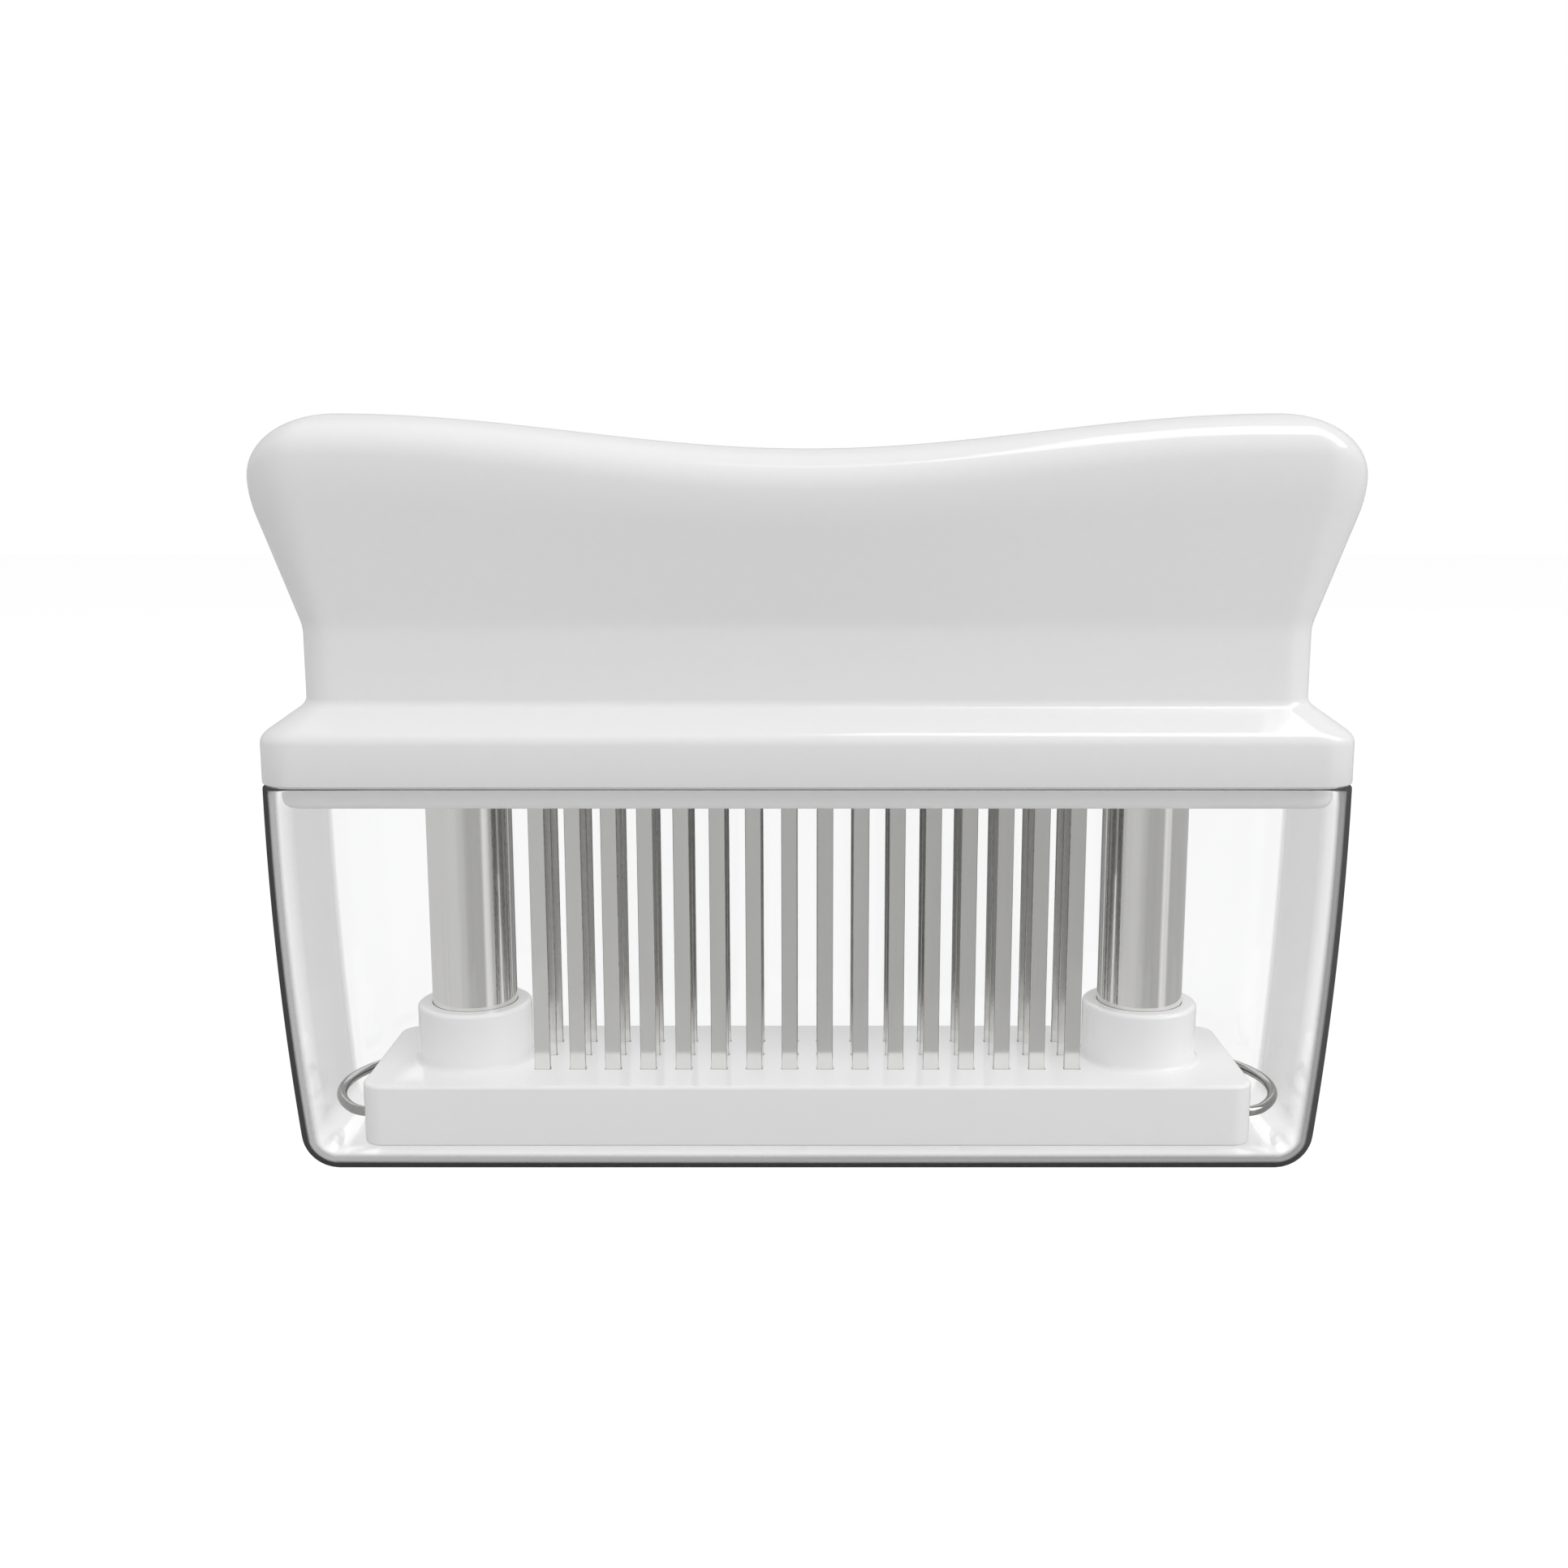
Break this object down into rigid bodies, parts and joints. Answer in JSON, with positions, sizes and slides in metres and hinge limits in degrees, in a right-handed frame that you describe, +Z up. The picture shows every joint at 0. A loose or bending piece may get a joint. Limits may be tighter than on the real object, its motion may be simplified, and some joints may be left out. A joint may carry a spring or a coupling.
{
  "type": "blade meat tenderizer",
  "caption": "Spring-loaded blade meat tenderizer: moulded saddle-topped handle, rows of steel knives through a guard plate that slides on steel columns, standing in a clear storage cover.",
  "frame": {"origin": "centre of the underside of the clear cover, the face the tool stands on", "axes": "+Z up through the handle, +X along the length of the handle and the rows of knives, +Y from the front to the back"},
  "size_m": [0.1476, 0.035, 0.103],
  "materials": {
    "clear_cover": "clear moulded plastic, glossy",
    "white_plastic": "moulded, satin to glossy",
    "guard_plastic": "moulded, glossy",
    "strip_plastic": "moulded",
    "knife_steel": "ground stainless steel",
    "column_steel": "polished stainless steel",
    "spring_steel": "drawn spring wire",
    "screw_steel": "plated"
  },
  "bodies": {
    "storage_cover": {"cover": "clear_cover"},
    "tool": {"handle": "white_plastic", "blade_carrier": "white_plastic", "strip_front": "strip_plastic", "strip_middle": "strip_plastic", "strip_rear": "strip_plastic", "blades_front": "knife_steel", "blades_middle": "knife_steel", "blades_rear": "knife_steel", "carrier_screws": "screw_steel", "spring_left": "spring_steel", "spring_right": "spring_steel"},
    "guard": {"guard_plate": "guard_plastic", "column_left": "column_steel", "column_right": "column_steel", "column_foot_left": "column_steel", "column_foot_right": "column_steel", "stop_collar_left": "screw_steel", "stop_collar_right": "screw_steel"},
    "pull_clip_left": {"clip_left": "spring_steel"},
    "pull_clip_right": {"clip_right": "spring_steel"}
  },
  "joints": [
    {"name": "lift_out", "type": "slide", "parent": "storage_cover", "child": "tool", "axis": [0, 0, 1], "range_m": [0, 0.06]},
    {"name": "press", "type": "slide", "parent": "tool", "child": "guard", "axis": [0, 0, 1], "range_m": [0, 0.0302], "stiffness_N_per_m": 300, "springref_m": -0.017, "deforming": ["spring_left", "spring_right"]},
    {"name": "clip_left_pull", "type": "slide", "parent": "guard", "child": "pull_clip_left", "axis": [-1, 0, 0], "range_m": [0, 0.0008]},
    {"name": "clip_right_pull", "type": "slide", "parent": "guard", "child": "pull_clip_right", "axis": [1, 0, 0], "range_m": [0, 0.0008]}
  ]
}
